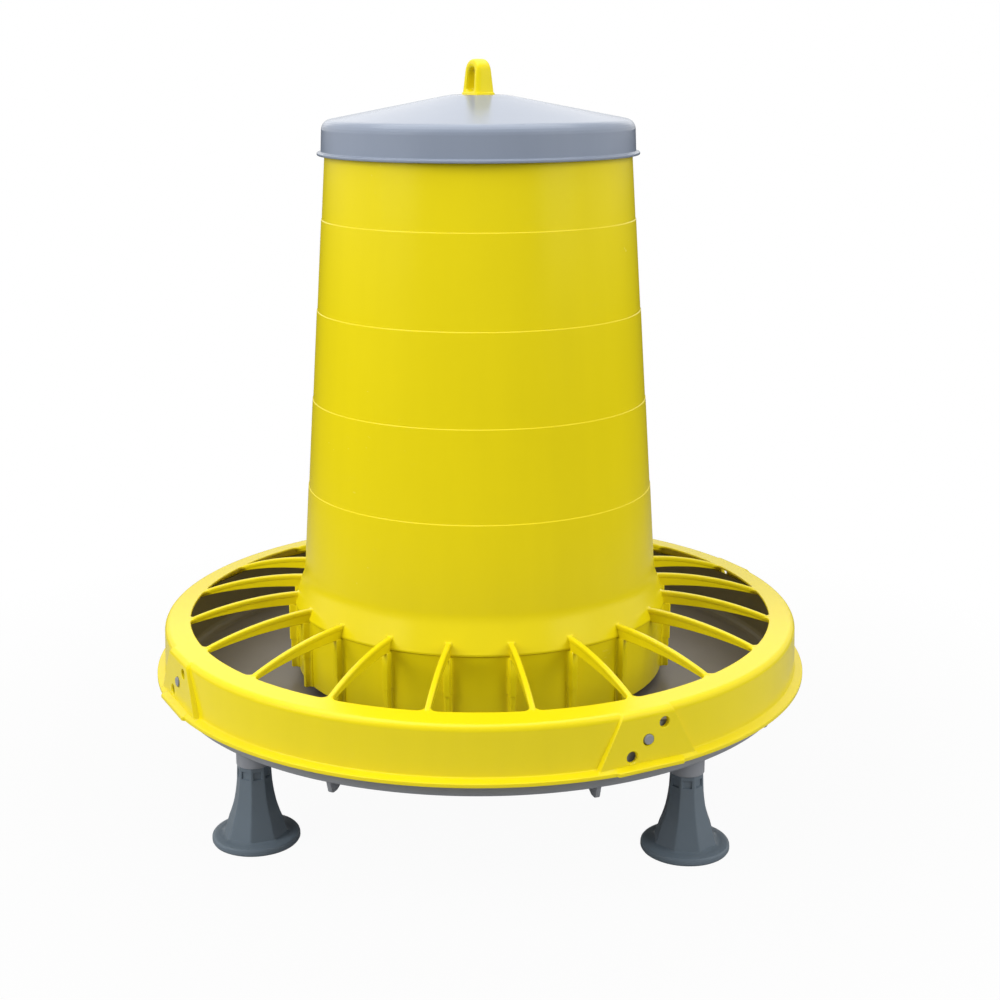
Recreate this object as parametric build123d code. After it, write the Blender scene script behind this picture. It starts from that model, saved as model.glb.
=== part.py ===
"""Poultry feeder: a tapered hopper with a ring of arched ribs, standing in a feed pan on four feet.

Millimetres, +Z up. The origin is on the floor, on the hopper's axis. The four flat pads of the ring lie on
the X and Y axes, and angles are counted from +X, counter-clockwise seen from above.

The hopper, its ribs and its ring are one moulding, and so are the pan with its cone and wall, and the lid
and its side. Each is divided here into plain pieces that meet face to face.
"""

from build123d import *
from math import cos, radians, sin
import os

# Overall sizes
height = 510.0
ring_radius = 235.0
pan_bottom_z = 70.0
wall = 2.2

# Hopper barrel: four fine steps, each section a little wider than the one above
step_top_z = 402.4
step_spacing = 62.9
step_count = 4
step_radius_top = 109.05
step_radius_gain = 4.5
step_width = 0.45
barrel_draft = 0.0644
barrel_top_z = 462.0
flare_z = 150.0
flare_fillet = 30.0
rim_radius = 134.8
rim_z = 128.7
skirt_radius_top = 134.0
skirt_radius_bottom = 133.2
skirt_bottom_z = 79.0

# Outer ring
ring_inner_radius = 210.0
ring_inner_z = 119.7
ring_corner_z = 118.2
ring_corner_fillet = 4.5
ring_wall_top_radius = 228.2
ring_wall_foot_radius = 229.2
ring_bottom_z = 80.4
flange_top_z = 85.0
flange_edge_z = 83.0

# Ribs and fins, one pair every 18 degrees. A rib's side view is given as points (radius, z): a short
# straight stretch at the root, then an arc through the last three
rib_count = 20
rib_top_line = [(131.9, 136.1), (140.0, 135.6), (176.0, 130.2), (213.0, 118.6)]
rib_arch_line = [(131.9, 126.6), (136.0, 126.0), (173.0, 123.1), (213.0, 114.4)]
rib_root_cut = 141.5
rib_tip_cut = 203.0
bead_width = 3.8
bead_depth = 3.4
web_width = 2.8
fin_width = 4.4
fin_radius = 139.6
fin_root_radius = 132.4
fin_top_z = 126.4
fin_step_z = 100.5
bare_rib_angle = 306.0
window_corner_fillet = 5.0
window_side_gap = 1.2

# Flat pads with the height holes
pad_plane = 229.9
pad_half_width_top = 18.0
pad_half_width_bottom = 36.5
pad_flange_plane = 235.5
pad_flange_half_width = 24.2
hole_radius = 3.6
hole_z = 98.9
hole_rise = 9.5
hole_shift = 11.8

# Pan
pan_floor_z = 72.0
pan_rim_z = 107.5
pan_radius = 225.6
pan_foot_radius = 225.0
pan_wall = 2.0
pan_wall_inner_radius = 214.6
peg_radius = 3.3
peg_tip = 231.1
cone_radius = 66.0
cone_foot_radius = 74.0
cone_top_z = 122.0
sleeve_radius = 11.6
sleeve_bore_radius = 9.1
gusset_count = 8
gusset_first_angle = 37.5
gusset_inner_radius = 192.0
gusset_outer_radius = 222.0
gusset_tip_z = 60.5
gusset_thickness = 3.2

# Feet
foot_circle_radius = 202.8
foot_angles = {"front_left": 195.0, "front_right": 285.0, "rear_right": 15.0, "rear_left": 105.0}
foot_turns = {"front_left": 0.0, "front_right": 22.5, "rear_right": 0.0, "rear_left": 22.5}
foot_seam_z = 54.0
foot_base_radius = 29.4
foot_base_z = 5.0
horn_sections = [(21.6, 4.4), (18.4, 15.5), (15.3, 24.0), (13.3, 32.5), (12.0, 42.0), (11.4, 54.0)]
horn_sides = 8
recess_z = 48.5
recess_floor = 9.7
recess_size = (2.4, 5.6, 5.0)
spigot_radius = 9.0
spigot_top_z = 69.0
foot_bore_radius = 7.0

# Lid
lid_top_z = 486.0
lid_flat_radius = 20.0
lid_corner_radius = 107.8
lid_corner_z = 468.8
lid_shoulder_fillet = 7.0
lid_lip_radius = 111.4
lid_lip_z = 445.8
lid_ledge_radius = 103.0
lid_side_top_z = 458.0
lid_wall = 1.8

# Hanger
eye_half_width_base = 11.2
eye_half_width_top = 8.8
eye_half_depth_base = 7.0
eye_half_depth_top = 5.0
eye_top_fillet = 3.2
boss_half_width = 12.4
boss_half_depth = 7.6
boss_top_z = 487.6
bar_half_width = 4.9
bar_slot_low = 447.0
bar_slot_high = 453.0
bar_shoulder_radius = 102.4
bar_middle_half_length = 60.0
bar_middle_low = 440.0
bar_middle_high = 455.0
eye_slot_corners = [(-5.4, 488.8), (5.4, 488.8), (4.8, 503.8), (-4.8, 503.8)]


def outline(*corners):
    """A closed face on X and Z from corners (x, z, fillet radius)."""
    points = [(x, z) for x, z, fillet_radius in corners]
    radii = [fillet_radius for x, z, fillet_radius in corners]
    path = FilletPolyline(*points, radius=radii, close=True)
    return Plane.XZ * make_face(path)


def turned(*corners):
    """A solid of revolution about Z from corners (radius, z, fillet radius), its seam between two ribs."""
    return Rot(0, 0, 180 / rib_count) * revolve(outline(*corners), Axis.Z)


def on_line(z, low, high):
    """Radius at height z on the line between two points (radius, z)."""
    return low[0] + (high[0] - low[0]) * (z - low[1]) / (high[1] - low[1])


def across(face, half_depth):
    """A face on X and Z thickened both ways along Y."""
    return extrude(face, amount=half_depth, both=True)


def upright_block(x_low, x_high, half_width, z_low, z_high):
    """A box between two X values, centred on Y = 0."""
    size = (x_high - x_low, 2 * half_width, z_high - z_low)
    middle = ((x_low + x_high) / 2, 0, (z_low + z_high) / 2)
    return Pos(*middle) * Box(*size)


def around(solid, count, first_angle=0.0):
    """Copies of a solid, evenly spaced about Z."""
    return [Rot(0, 0, first_angle + index * 360 / count) * solid for index in range(count)]


def make_hopper_shell():
    """Barrel with its steps, flared collar and skirt."""
    outer = []
    top_radius = step_radius_top - barrel_draft * (barrel_top_z - step_top_z)
    outer.append((top_radius, barrel_top_z, 0.6))
    for index in range(step_count):
        z = step_top_z - index * step_spacing
        radius = step_radius_top + index * step_radius_gain
        outer.append((radius, z, 0))
        outer.append((radius + step_width, z - step_width, 0))
    flare_radius = outer[-1][0] + barrel_draft * (outer[-1][1] - flare_z)
    outer.append((flare_radius, flare_z, flare_fillet))
    outer.append((rim_radius, rim_z, 0.4))
    outer.append((rim_radius, rim_z - 1.0, 0.2))
    outer.append((skirt_radius_top, rim_z - 1.8, 0))
    outer.append((skirt_radius_bottom, skirt_bottom_z, 0.5))
    inner = [
        (skirt_radius_bottom - wall, skirt_bottom_z, 0.5),
        (skirt_radius_top - wall, rim_z - 3.0, 8),
        (flare_radius - wall, flare_z - 2.0, flare_fillet),
        (top_radius - wall, barrel_top_z, 0.6),
    ]
    return turned(*outer, *inner)


def make_ring():
    """The outer ring: sloping top, drafted wall and outward flange, in one section."""
    inner_top = ring_wall_top_radius - wall
    inner_foot = ring_wall_foot_radius - wall
    return turned(
        (ring_inner_radius - 6, ring_inner_z + 0.7, 0),
        (ring_wall_top_radius, ring_corner_z - 0.4, ring_corner_fillet),
        (ring_wall_foot_radius, flange_top_z, 1.2),
        (ring_radius, flange_edge_z, 0.8),
        (ring_radius, ring_bottom_z, 0.4),
        (inner_foot, ring_bottom_z, 0),
        (inner_top, ring_corner_z - wall - 0.4, 2.3),
        (ring_inner_radius - 6, ring_inner_z - 1.5, 0),
    )


def make_window_cuts():
    """The 20 openings' outer ends, with rounded corners, as one cutter."""
    half_angle = 180 / rib_count
    near = 190.0
    spread = radians(half_angle) - (bead_width / 2 + window_side_gap) / ring_inner_radius
    far_left = (ring_inner_radius * cos(spread), ring_inner_radius * sin(spread))
    far_right = (far_left[0], -far_left[1])
    edges = [
        ThreePointArc(far_right, (ring_inner_radius, 0), far_left),
        Line(far_left, (near, near * sin(spread))),
        Line((near, near * sin(spread)), (near, -near * sin(spread))),
        Line((near, -near * sin(spread)), far_right),
    ]
    opening = make_face(edges)
    outer_corners = opening.vertices().filter_by(lambda v: v.X > near + 5)
    opening = fillet(outer_corners, window_corner_fillet)
    cutter = Pos(0, 0, ring_inner_z - 12) * extrude(opening, amount=24)
    return around(cutter, rib_count, half_angle)


def rib_side(top, low):
    """Side view of a rib on X and Z between its top and its lower line."""
    edges = [
        Line(top[0], top[1]),
        ThreePointArc(top[1], top[2], top[3]),
        Line(top[3], low[3]),
        ThreePointArc(low[3], low[2], low[1]),
        Line(low[1], low[0]),
        Line(low[0], top[0]),
    ]
    return Plane.XZ * make_face(edges)


def rib_top_z(x):
    """Height of a rib's top edge, near enough to tell its edges from the bottom ones."""
    bend_x, bend_z = rib_top_line[1]
    return bend_z - 0.00323 * max(x - bend_x, 0.0) ** 2


def make_rib():
    """One arched rib along X, from inside the collar to inside the ring: a rounded bead and a thin web."""
    bead_line = [(x, z - bead_depth) for x, z in rib_top_line]
    bead = across(rib_side(rib_top_line, bead_line), bead_width / 2)
    top_edges = bead.edges().filter_by(lambda e: abs(e.center().Z - rib_top_z(e.center().X)) < 0.9)
    top_edges = top_edges.filter_by(lambda e: abs(e.center().Y) > bead_width / 2 - 0.1)
    bead = fillet(top_edges, 1.3)
    web = across(rib_side(rib_top_line, rib_arch_line), web_width / 2)
    return [bead, web]


def rib_stretch(near_radius, far_radius):
    """The parts of a rib's bead and web between two radii."""
    low_z = ring_bottom_z
    high_z = flare_z
    low_corners = [(near_radius, low_z, 0), (far_radius, low_z, 0)]
    high_corners = [(far_radius, high_z, 0), (near_radius, high_z, 0)]
    band = turned(*low_corners, *high_corners)
    return [part & band for part in make_rib()]


def every_rib(parts):
    """Copies of the parts of one rib at all the ribs' places."""
    return [copy for part in parts for copy in around(part, rib_count)]


def make_fins():
    """The fins on the skirt, each in its two widths, under every rib but one."""
    fin = upright_block(fin_root_radius, fin_radius, fin_width / 2, fin_step_z, fin_top_z)
    fin = fillet(fin.edges().filter_by(Axis.Z).group_by(Axis.X)[-1], 0.8)
    fin_foot = upright_block(
        fin_root_radius - 0.4, fin_radius - 0.5, fin_width / 2 - 0.3, skirt_bottom_z, fin_step_z
    )
    fin_foot = fillet(fin_foot.edges().filter_by(Axis.Z).group_by(Axis.X)[-1], 0.8)
    angles = [index * 360 / rib_count for index in range(rib_count)]
    finned = [angle for angle in angles if angle != bare_rib_angle]
    return [Rot(0, 0, angle) * part for angle in finned for part in (fin, fin_foot)]


def pad_wedge(inset):
    """The pad's trapezoid seen from outside, as a block along X, smaller all round by the inset."""
    top_z = ring_corner_z + 2 - 2.5 * inset
    bottom_z = flange_edge_z - 1
    corners = [
        (-pad_half_width_bottom + inset, bottom_z),
        (pad_half_width_bottom - inset, bottom_z),
        (pad_half_width_top - inset, top_z),
        (-pad_half_width_top + inset, top_z),
    ]
    face = Plane.YZ * make_face(Polyline(*corners, close=True))
    return Pos(215, 0, 0) * extrude(face, amount=25)


def make_pad():
    """One flat pad on the ring's wall, at +X, with its straight piece of flange."""
    side = outline(
        (222.0, ring_corner_z, 0),
        (pad_plane - 0.4, ring_corner_z - 0.4, ring_corner_fillet),
        (pad_plane + 0.6, flange_edge_z, 0),
        (222.0, flange_edge_z, 0),
    )
    slab = across(side, pad_half_width_bottom + 2)
    flange = upright_block(225.0, pad_flange_plane, pad_flange_half_width, ring_bottom_z, flange_edge_z)
    return slab & pad_wedge(0.0), flange


def make_pad_pocket():
    """The hollow behind a pad, open downwards, that lets a peg slide up to its hole."""
    side = outline(
        (220.0, ring_bottom_z - 1, 0),
        (pad_plane + 0.6 - wall, ring_bottom_z - 1, 0),
        (pad_plane - wall, ring_corner_z - wall - 2.5, 2),
        (220.0, ring_corner_z - wall - 2.5, 0),
    )
    full = across(side, pad_half_width_bottom + 2)
    wedge = pad_wedge(wall)
    mouth = upright_block(215.0, 232.0, pad_flange_half_width - wall, ring_bottom_z - 2, flange_edge_z)
    return full & (wedge + mouth)


def make_hopper():
    """Barrel, collar and skirt with the fins and the roots of the ribs, and the two slots for the bar."""
    roots = rib_stretch(rib_top_line[0][0] - 1, rib_root_cut)
    body = make_hopper_shell() + every_rib(roots) + make_fins()
    slot_size = (2 * bar_half_width + 0.4, 260, bar_slot_high - bar_slot_low)
    slot = Pos(0, 0, (bar_slot_low + bar_slot_high) / 2) * Box(*slot_size)
    return body - slot


def make_outer_ring():
    """The ring with its four pads, pockets and height holes, and the tips of the ribs."""
    ring = make_ring() - make_window_cuts()
    ring = ring + every_rib(rib_stretch(rib_tip_cut, rib_top_line[3][0] + 1))
    clearance = turned(
        (200, ring_bottom_z - 1, 0),
        (ring_wall_foot_radius - wall, ring_bottom_z - 1, 0),
        (ring_wall_top_radius - wall, ring_corner_z - wall - 0.4, 2.3),
        (200, ring_corner_z - wall - 0.4, 0),
    )
    slab, flange = make_pad()
    pads = [Rot(0, 0, 90 * index) * (piece - clearance) for index in range(4) for piece in (slab, flange)]
    ring = ring + pads
    ring = ring - around(make_pad_pocket(), 4)
    hole = Rot(0, 90, 0) * Cylinder(hole_radius, 30)
    for step in (-1, 0, 1):
        placed = Pos(pad_plane - 3, step * hole_shift, hole_z + step * hole_rise) * hole
        ring = ring - around(placed, 4)
    return ring


def make_pan():
    """The pan's flat floor, with the sleeves and gussets below."""
    floor = turned(
        (cone_foot_radius, pan_floor_z, 0),
        (pan_wall_inner_radius, pan_floor_z, 0),
        (pan_wall_inner_radius, pan_bottom_z, 0),
        (cone_foot_radius, pan_bottom_z, 0),
    )
    sleeve_height = pan_bottom_z - foot_seam_z + 0.5
    sleeve = Cylinder(sleeve_radius, sleeve_height, align=(Align.CENTER, Align.CENTER, Align.MIN))
    bore = Cylinder(sleeve_bore_radius, sleeve_height - 0.5, align=(Align.CENTER, Align.CENTER, Align.MIN))
    sleeve = Pos(foot_circle_radius, 0, foot_seam_z) * (sleeve - bore)
    gusset = outline(
        (gusset_inner_radius, pan_bottom_z + 0.5, 0),
        (pan_wall_inner_radius - 0.1, pan_bottom_z + 0.5, 0),
        (pan_wall_inner_radius - 0.1, pan_bottom_z, 0),
        (gusset_outer_radius, pan_bottom_z, 0),
        (gusset_outer_radius - 3, gusset_tip_z, 2.5),
        (gusset_outer_radius - 9, gusset_tip_z, 3),
    )
    gussets = around(across(gusset, gusset_thickness / 2), gusset_count, gusset_first_angle)
    return floor + around(sleeve, 4, foot_angles["rear_right"]) + gussets


def make_pan_cone():
    """The hollow cone in the pan's middle that spreads the feed."""
    return turned(
        (0, cone_top_z, 0),
        (7, cone_top_z, 4),
        (cone_radius, pan_floor_z, 12),
        (cone_foot_radius, pan_floor_z, 0),
        (cone_foot_radius, pan_bottom_z, 0),
        (cone_radius + 1, pan_bottom_z, 12),
        (6, cone_top_z - 3, 3),
        (0, cone_top_z - 3, 0),
    )


def make_pan_wall():
    """The pan's wall with its rounded foot, and the four pegs outside."""
    band = turned(
        (pan_wall_inner_radius, pan_floor_z, 0),
        (pan_foot_radius - pan_wall, pan_floor_z, 8),
        (pan_radius - pan_wall, pan_rim_z, 0.8),
        (pan_radius, pan_rim_z, 0.8),
        (pan_foot_radius, pan_bottom_z, 2),
        (pan_wall_inner_radius, pan_bottom_z, 0),
    )
    peg_root = pan_radius - 1.5
    peg = Cylinder(peg_radius, peg_tip - peg_root, align=(Align.CENTER, Align.CENTER, Align.MIN))
    peg = chamfer(peg.edges().group_by(Axis.Z)[-1], 0.5)
    peg = Pos(peg_root, 0, hole_z + hole_radius - peg_radius) * (Rot(0, 90, 0) * peg)
    return band + around(peg, 4)


def foot_horn():
    """The foot's eight-sided horn, wide at the base, with a shallow recess on each face below the seam."""
    faces = [Pos(0, 0, z) * RegularPolygon(radius, horn_sides) for radius, z in horn_sections]
    recess = Pos(recess_floor + recess_size[0] / 2, 0, recess_z) * Box(*recess_size)
    return loft(faces) - around(recess, horn_sides, 180 / horn_sides)


def make_foot(angle, turn):
    """One foot: horn, round base and spigot, hollow from below."""
    base = turned(
        (0, 0, 0),
        (foot_base_radius - 0.6, 0, 0),
        (foot_base_radius, 1.0, 0),
        (foot_base_radius, foot_base_z, 2.2),
        (0, foot_base_z + 0.8, 0),
    )
    spigot = Pos(0, 0, foot_seam_z - 4) * Cylinder(
        spigot_radius, spigot_top_z - foot_seam_z + 4, align=(Align.CENTER, Align.CENTER, Align.MIN)
    )
    hollow = turned(
        (0, -1, 0),
        (18.0, -1, 0),
        (12.5, 20.0, 20),
        (8.2, 52.0, 0),
        (foot_bore_radius, 56.0, 0),
        (foot_bore_radius, spigot_top_z - 2, 1.5),
        (0, spigot_top_z - 2, 0),
    )
    foot = base + foot_horn() + spigot - hollow
    return Rot(0, 0, angle) * (Pos(foot_circle_radius, 0, 0) * (Rot(0, 0, turn) * foot))


def lid_side_top():
    """Inner and outer radius of the lid's side where it meets the top's piece."""
    inner_foot = (lid_corner_radius - 0.9, lid_lip_z)
    outer_foot = (lid_corner_radius + 0.9, lid_lip_z + 2.3)
    inner_edge = on_line(lid_side_top_z, inner_foot, (lid_corner_radius - 1.6, barrel_top_z))
    outer_edge = on_line(lid_side_top_z, outer_foot, (lid_corner_radius, lid_corner_z))
    return inner_edge, outer_edge


def make_lid():
    """The lid's top: a shallow cone with a rounded shoulder, a ledge that lies on the rim, and a hole."""
    slope = (lid_top_z - lid_corner_z) / (lid_corner_radius - lid_flat_radius)
    under = lid_top_z - slope * (lid_ledge_radius - 1.0 - lid_flat_radius) - lid_wall
    inner_edge, outer_edge = lid_side_top()
    shell = turned(
        (0, lid_top_z, 0),
        (lid_flat_radius, lid_top_z, 40),
        (lid_corner_radius, lid_corner_z, lid_shoulder_fillet),
        (outer_edge, lid_side_top_z, 0),
        (inner_edge, lid_side_top_z, 0),
        (lid_corner_radius - 1.6, barrel_top_z, 0.3),
        (lid_ledge_radius, barrel_top_z, 0.5),
        (lid_ledge_radius - 1.0, under, 0.5),
        (lid_flat_radius, lid_top_z - lid_wall, 38),
        (0, lid_top_z - lid_wall, 0),
    )
    hole_size = (2 * boss_half_depth + 1.0, 2 * boss_half_width + 1.0, 20)
    hole = fillet(Box(*hole_size).edges().filter_by(Axis.Z), 1.0)
    return shell - Pos(0, 0, lid_top_z) * hole


def make_lid_side():
    """The lid's straight side, down over the rim, and its small lip."""
    inner_edge, outer_edge = lid_side_top()
    return turned(
        (outer_edge, lid_side_top_z, 0),
        (lid_corner_radius + 0.9, lid_lip_z + 2.3, 0.5),
        (lid_lip_radius, lid_lip_z + 2.0, 0.7),
        (lid_lip_radius, lid_lip_z, 0.7),
        (lid_corner_radius - 0.9, lid_lip_z, 0.5),
        (inner_edge, lid_side_top_z, 0),
    )


def make_hanger():
    """The bar across the hopper's mouth, held in two slots, with the tapered eye on it."""
    front = [
        (-boss_half_width, 452),
        (-boss_half_width, boss_top_z - 0.6),
        (-eye_half_width_base, boss_top_z),
        (-eye_half_width_top, height - eye_half_width_top),
    ]
    back = [(-x, z) for x, z in reversed(front)]
    front_edges = Polyline(*back, front[0], *front[1:])
    cap = ThreePointArc(front[-1], (0, height), back[0])
    eye = extrude(Plane.YZ * make_face([front_edges, cap]), amount=boss_half_depth, both=True)
    side = outline(
        (-boss_half_depth, 450, 0),
        (-boss_half_depth, boss_top_z - 0.6, 0),
        (-eye_half_depth_base, boss_top_z, 0),
        (-eye_half_depth_top, height + 0.01, eye_top_fillet),
        (eye_half_depth_top, height + 0.01, eye_top_fillet),
        (eye_half_depth_base, boss_top_z, 0),
        (boss_half_depth, boss_top_z - 0.6, 0),
        (boss_half_depth, 450, 0),
    )
    eye = eye & across(side, boss_half_width + 2)
    slot = FilletPolyline(*eye_slot_corners, radius=[2.0, 2.0, 4.3, 4.3], close=True)
    eye = eye - extrude(Plane.YZ * make_face(slot), amount=20, both=True)
    tab_tip = step_radius_top - barrel_draft * (bar_slot_high - step_top_z) - 0.3
    bar_right = [
        (bar_middle_half_length, bar_middle_low),
        (bar_shoulder_radius, bar_slot_low - 1.5),
        (bar_shoulder_radius, bar_slot_low),
        (tab_tip, bar_slot_low),
        (tab_tip, bar_slot_high - 0.4),
        (bar_shoulder_radius, bar_slot_high - 0.4),
        (bar_middle_half_length, bar_middle_high),
    ]
    bar_left = [(-y, z) for y, z in reversed(bar_right)]
    bend = 20
    radii = [bend, 0, 0, 0, 0, 0, bend, bend, 0, 0, 0, 0, 0, bend]
    bar_path = FilletPolyline(*bar_right, *bar_left, radius=radii, close=True)
    bar = extrude(Plane.YZ * make_face(bar_path), amount=bar_half_width, both=True)
    return eye + bar


os.makedirs("parts", exist_ok=True)
export_step(make_hopper(), "parts/hopper.step")
export_step(make_outer_ring(), "parts/ring.step")
bead, web = rib_stretch(rib_root_cut, rib_tip_cut)
for index, rib in enumerate(around(bead + web, rib_count)):
    export_step(rib, f"parts/rib_{index + 1:02d}.step")
export_step(make_pan(), "parts/pan.step")
export_step(make_pan_cone(), "parts/pan_cone.step")
export_step(make_pan_wall(), "parts/pan_wall.step")
export_step(make_lid(), "parts/lid.step")
export_step(make_lid_side(), "parts/lid_side.step")
export_step(make_hanger(), "parts/hanger.step")
for name, angle in foot_angles.items():
    export_step(make_foot(angle, foot_turns[name]), f"parts/foot_{name}.step")
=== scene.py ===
import bmesh
import bpy
import numpy as np
from mathutils import Euler, Matrix, Vector


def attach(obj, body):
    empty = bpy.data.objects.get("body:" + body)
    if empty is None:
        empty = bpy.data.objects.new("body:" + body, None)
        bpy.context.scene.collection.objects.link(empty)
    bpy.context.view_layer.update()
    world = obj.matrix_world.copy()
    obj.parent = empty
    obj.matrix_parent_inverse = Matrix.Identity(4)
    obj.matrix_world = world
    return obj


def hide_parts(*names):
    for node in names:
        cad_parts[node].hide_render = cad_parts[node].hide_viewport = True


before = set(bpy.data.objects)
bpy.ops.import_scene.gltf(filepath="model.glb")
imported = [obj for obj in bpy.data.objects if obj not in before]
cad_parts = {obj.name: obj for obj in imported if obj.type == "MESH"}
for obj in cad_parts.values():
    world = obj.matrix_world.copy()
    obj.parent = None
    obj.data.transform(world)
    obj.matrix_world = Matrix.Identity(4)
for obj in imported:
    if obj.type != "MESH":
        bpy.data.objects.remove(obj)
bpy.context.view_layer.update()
bpy.context.scene.view_settings.view_transform = "Standard"


# Hopper barrel
# The tall tapered tub that holds the feed, injection moulded in yellow polypropylene in one shot with the
# grille and the ring below it. Four hairline steps run round it and its foot flares into a collar and skirt.

BARREL_TOP_Z = 462.0
BARREL_DRAFT = 0.0644
STEP_COUNT = 4
STEP_TOP_Z = 402.4
STEP_DROP = 62.9
STEP_TOP_RADIUS = 109.05
STEP_GAIN = 4.5
STEP_WIDTH = 0.45
STEP_ROUND = 0.25
MOUTH_ROUND = 0.6
FLARE_Z = 150.0
FLARE_ROUND = 30.0
RIM_RADIUS = 134.8
RIM_Z = 128.7
RIM_THICKNESS = 1.2
SKIRT_RADIUS = 134.0
SKIRT_DRAFT = 0.8
SKIRT_BOTTOM_Z = 79.0
WALL = 2.2
YELLOW = (0.84, 0.69, 0.005)
PLASTIC_IOR = 1.49
PEEL_DEPTH = 0.00002
SINK_DEPTH = 0.0002
SCUFF_FADE = 0.12
SCUFF_ROUGHENING = 0.25


def rounded_path(corners, closed=True, steps=6, support=0.4):
    """Points of a path through corners (a, b, radius). A corner becomes the arc of its radius that is tangent
    to the runs on both sides: its centre lies at corner + bisector * radius / cos(half the turn). A run
    longer than four supports gets a point one support from each end, which keeps its shading flat."""
    corner = np.array(corners, float)[:, :2]
    radius = np.array(corners, float)[:, 2:]
    back = np.roll(corner, 1, axis=0) - corner
    ahead = np.roll(corner, -1, axis=0) - corner
    if not closed:
        back[0] = -ahead[0]
        ahead[-1] = -back[-1]
    back /= np.linalg.norm(back, axis=1, keepdims=True)
    ahead /= np.linalg.norm(ahead, axis=1, keepdims=True)
    turn = np.pi - np.arccos(np.clip((back * ahead).sum(axis=1, keepdims=True), -1, 1))
    turn = np.clip(turn, 1e-4, None)
    bisector = back + ahead
    bisector /= np.maximum(np.linalg.norm(bisector, axis=1, keepdims=True), 1e-9)
    centre = corner + bisector * radius / np.cos(turn / 2)
    start = corner + back * radius * np.tan(turn / 2) - centre
    end = corner + ahead * radius * np.tan(turn / 2) - centre
    share = np.linspace(0, 1, steps)
    leaving = np.sin((1 - share) * turn)[:, :, None] * start[:, None]
    arriving = np.sin(share * turn)[:, :, None] * end[:, None]
    path = (centre[:, None] + (leaving + arriving) / np.sin(turn)[:, :, None]).reshape(-1, 2)
    path = path[np.linalg.norm(path - np.roll(path, 1, axis=0), axis=1) > 1e-6]
    run = np.roll(path, -1, axis=0) - path
    if not closed:
        run[-1] = 0
    length = np.linalg.norm(run, axis=1)
    long = np.flatnonzero(length > 4 * support)
    unit = run[long] / length[long, None]
    added = np.stack([path[long] + unit * support, path[long] + run[long] - unit * support], axis=1)
    return np.insert(path, np.repeat(long + 1, 2), added.reshape(-1, 2), axis=0)


def turned(profile, angles):
    """A profile (radius, height) carried round the axis: x = r cos a, y = r sin a, z = height."""
    x = profile[:, :1] * np.cos(angles)
    y = profile[:, :1] * np.sin(angles)
    return np.stack([x, y, np.broadcast_to(profile[:, 1:], x.shape)], axis=-1)


def spun(grid, degrees):
    """A grid of points turned about the vertical axis: (x cos a - y sin a, x sin a + y cos a, z)."""
    c, s = np.cos(np.radians(degrees)), np.sin(np.radians(degrees))
    return grid @ np.array([[c, s, 0], [-s, c, 0], [0, 0, 1]])


def skin(grid, loop=True):
    """Points and faces over a grid whose columns close on themselves, and whose rows do too if it is a loop.
    Point (i, j) makes a face with (i + 1, j), (i + 1, j + 1) and (i, j + 1)."""
    rows, columns = grid.shape[:2]
    index = np.arange(rows * columns).reshape(rows, columns)
    if loop:
        index = np.vstack([index, index[:1]])
    beside = np.roll(index, -1, axis=1)
    faces = np.stack([index[:-1], index[1:], beside[1:], beside[:-1]], axis=-1)
    return grid.reshape(-1, 3), faces.reshape(-1, 4)


def capped(grid):
    """A grid with both end rows drawn together to points, which closes a rod or a plate at its ends."""
    first, last = grid[:1], grid[-1:]
    start = np.broadcast_to(first.mean(axis=1, keepdims=True), first.shape)
    end = np.broadcast_to(last.mean(axis=1, keepdims=True), last.shape)
    return np.concatenate([start, grid, end])


def make_piece(name, skins, material, nodes=(), crease=32):
    """One piece in metres from skins in millimetres. Points that meet are merged, which closes seams and
    poles, all faces are turned outwards, and edges sharper than the crease angle stay sharp."""
    offsets = np.cumsum([0] + [len(points) for points, faces in skins])
    points = np.concatenate([points for points, faces in skins]) * 0.001
    faces = np.concatenate([faces + offset for (_, faces), offset in zip(skins, offsets)])
    mesh = bpy.data.meshes.new(name)
    mesh.from_pydata(points.tolist(), [], faces.tolist())
    work = bmesh.new()
    work.from_mesh(mesh)
    bmesh.ops.remove_doubles(work, verts=work.verts, dist=2e-6)
    bmesh.ops.recalc_face_normals(work, faces=work.faces)
    work.to_mesh(mesh)
    work.free()
    piece = bpy.data.objects.new(name, mesh)
    bpy.context.scene.collection.objects.link(piece)
    finish_surface(piece, material, crease)
    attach(piece, "root")
    if nodes:
        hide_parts(*nodes)
    return piece


def finish_surface(piece, material, crease):
    """Smooth shading up to the crease angle, and the material."""
    piece.data.shade_smooth()
    piece.data.set_sharp_from_angle(angle=np.radians(crease))
    piece.data.materials.clear()
    piece.data.materials.append(material)


def add_node(tree, kind, inputs=(), **settings):
    """A shader node with its settings. Inputs are (socket, value or another node's output) pairs."""
    node = tree.nodes.new(kind)
    for key, value in settings.items():
        setattr(node, key, value)
    for socket, value in inputs:
        if isinstance(value, bpy.types.NodeSocket):
            tree.links.new(value, node.inputs[socket])
        else:
            node.inputs[socket].default_value = value
    return node


def new_group(name, inputs, outputs):
    """An empty shader node group with its sockets (name, kind, default)."""
    tree = bpy.data.node_groups.new(name, "ShaderNodeTree")
    for label, kind, default in inputs:
        tree.interface.new_socket(label, in_out="INPUT", socket_type=kind).default_value = default
    for label, kind in outputs:
        tree.interface.new_socket(label, in_out="OUTPUT", socket_type=kind)
    return tree, tree.nodes.new("NodeGroupInput"), tree.nodes.new("NodeGroupOutput")


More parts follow.
